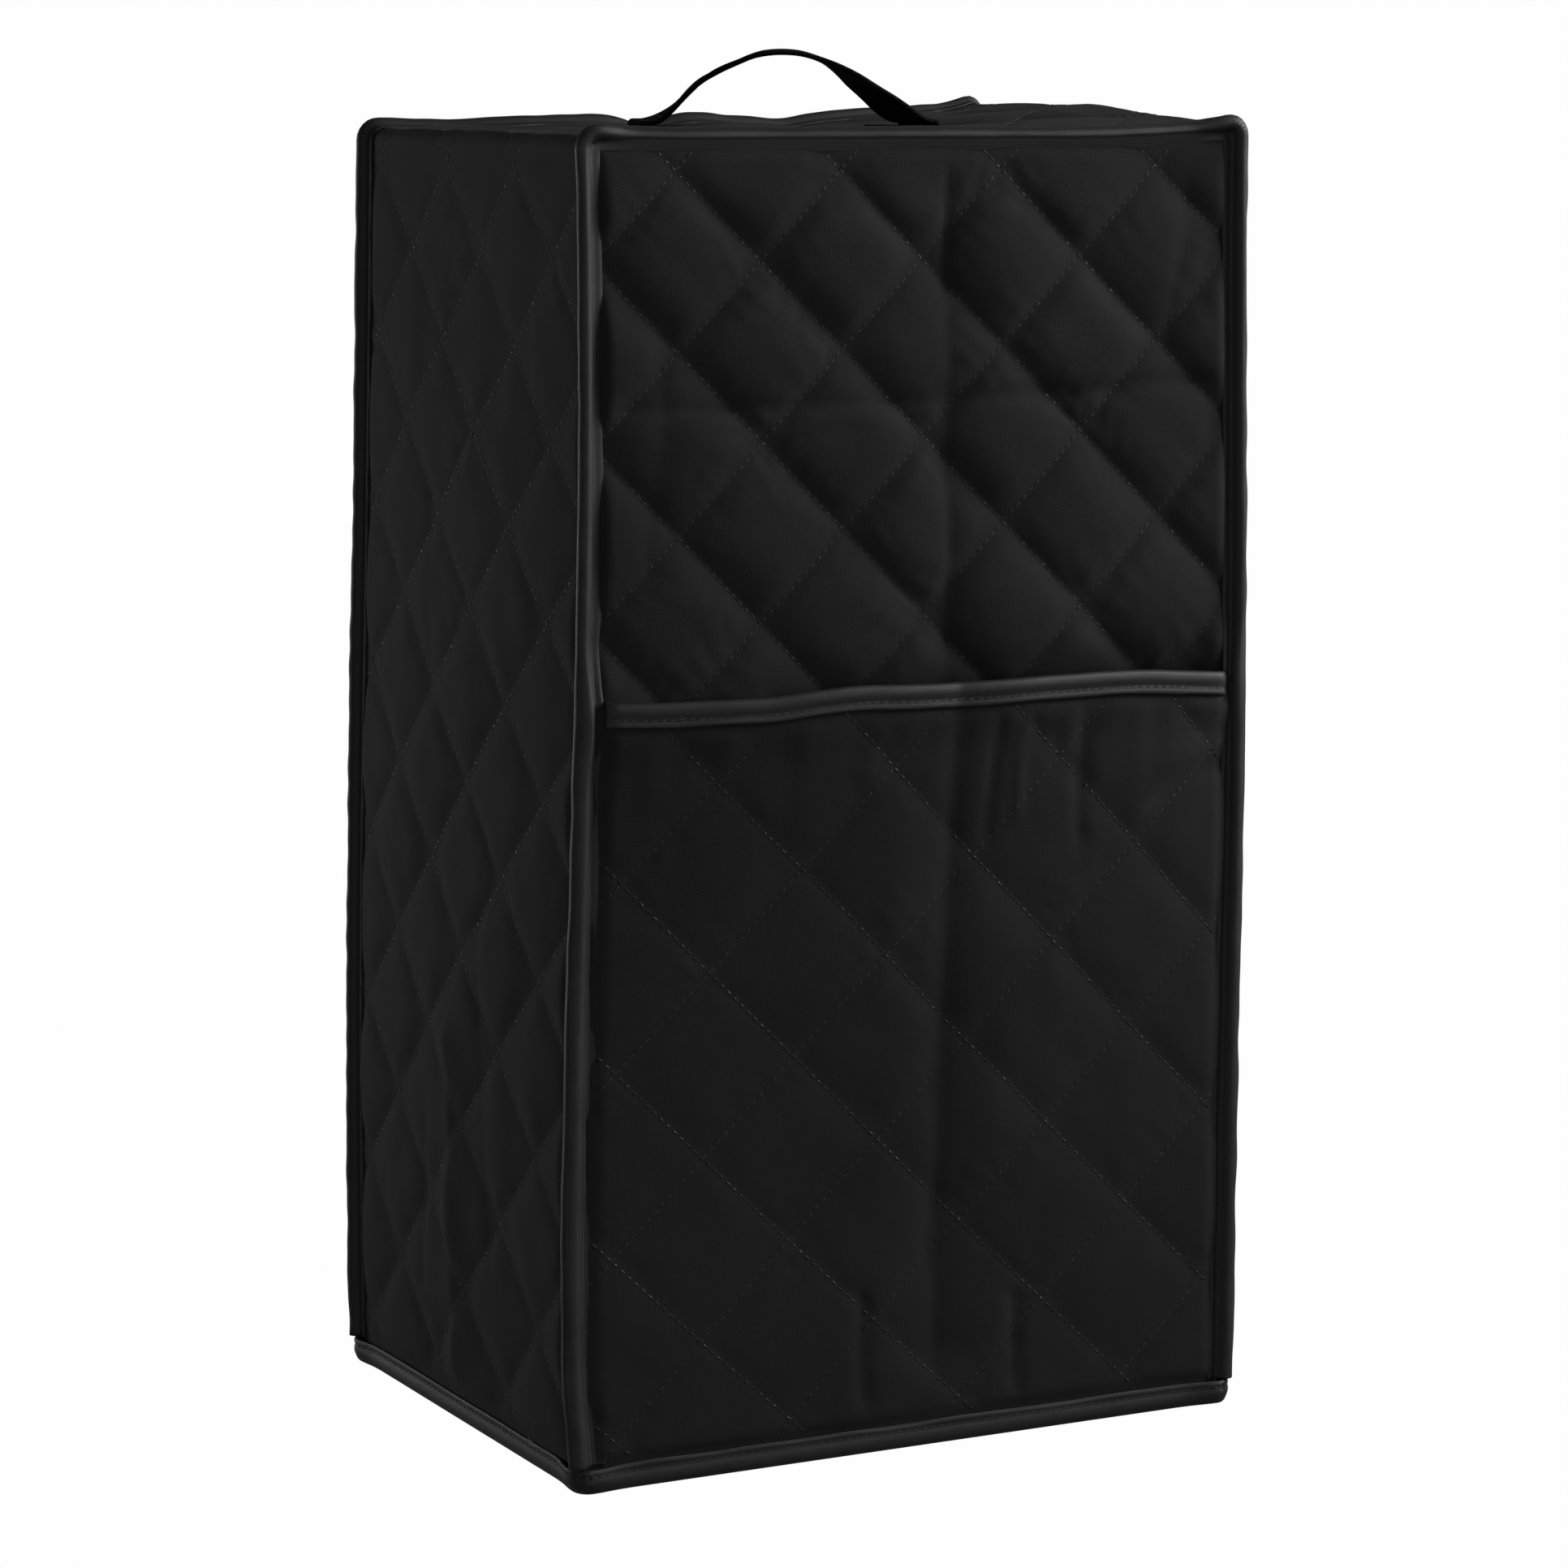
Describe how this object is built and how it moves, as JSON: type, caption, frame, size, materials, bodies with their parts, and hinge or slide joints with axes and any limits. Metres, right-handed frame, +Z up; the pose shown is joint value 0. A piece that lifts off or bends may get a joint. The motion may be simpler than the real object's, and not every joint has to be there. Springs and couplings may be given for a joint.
{
  "type": "blender cover",
  "caption": "Tall box-shaped fitted cover of diamond-quilted cloth with bound seams, an open bound hem, a wide patch pocket on the front and a webbing carry strap on top.",
  "frame": {"origin": "middle of the footprint, at the underside of the hem", "axes": "+Z up; the pocket faces -Y; +X is to the right of someone who looks at the front, along the wide side"},
  "size_m": [0.267, 0.207, 0.473],
  "materials": {
    "quilted_cloth": "matt black woven polyester with a faint sheen, quilted in diamonds",
    "binding_tape": "black woven bias tape, slightly smoother than the cloth",
    "webbing": "deep black ribbed polypropylene webbing"
  },
  "bodies": {
    "root": {"front_panel": "quilted_cloth", "back_panel": "quilted_cloth", "gusset": "quilted_cloth", "pocket": "quilted_cloth", "pocket_binding": "binding_tape", "front_binding": "binding_tape", "back_binding": "binding_tape", "hem_binding": "binding_tape", "handle_strap": "webbing"}
  },
  "joints": []
}
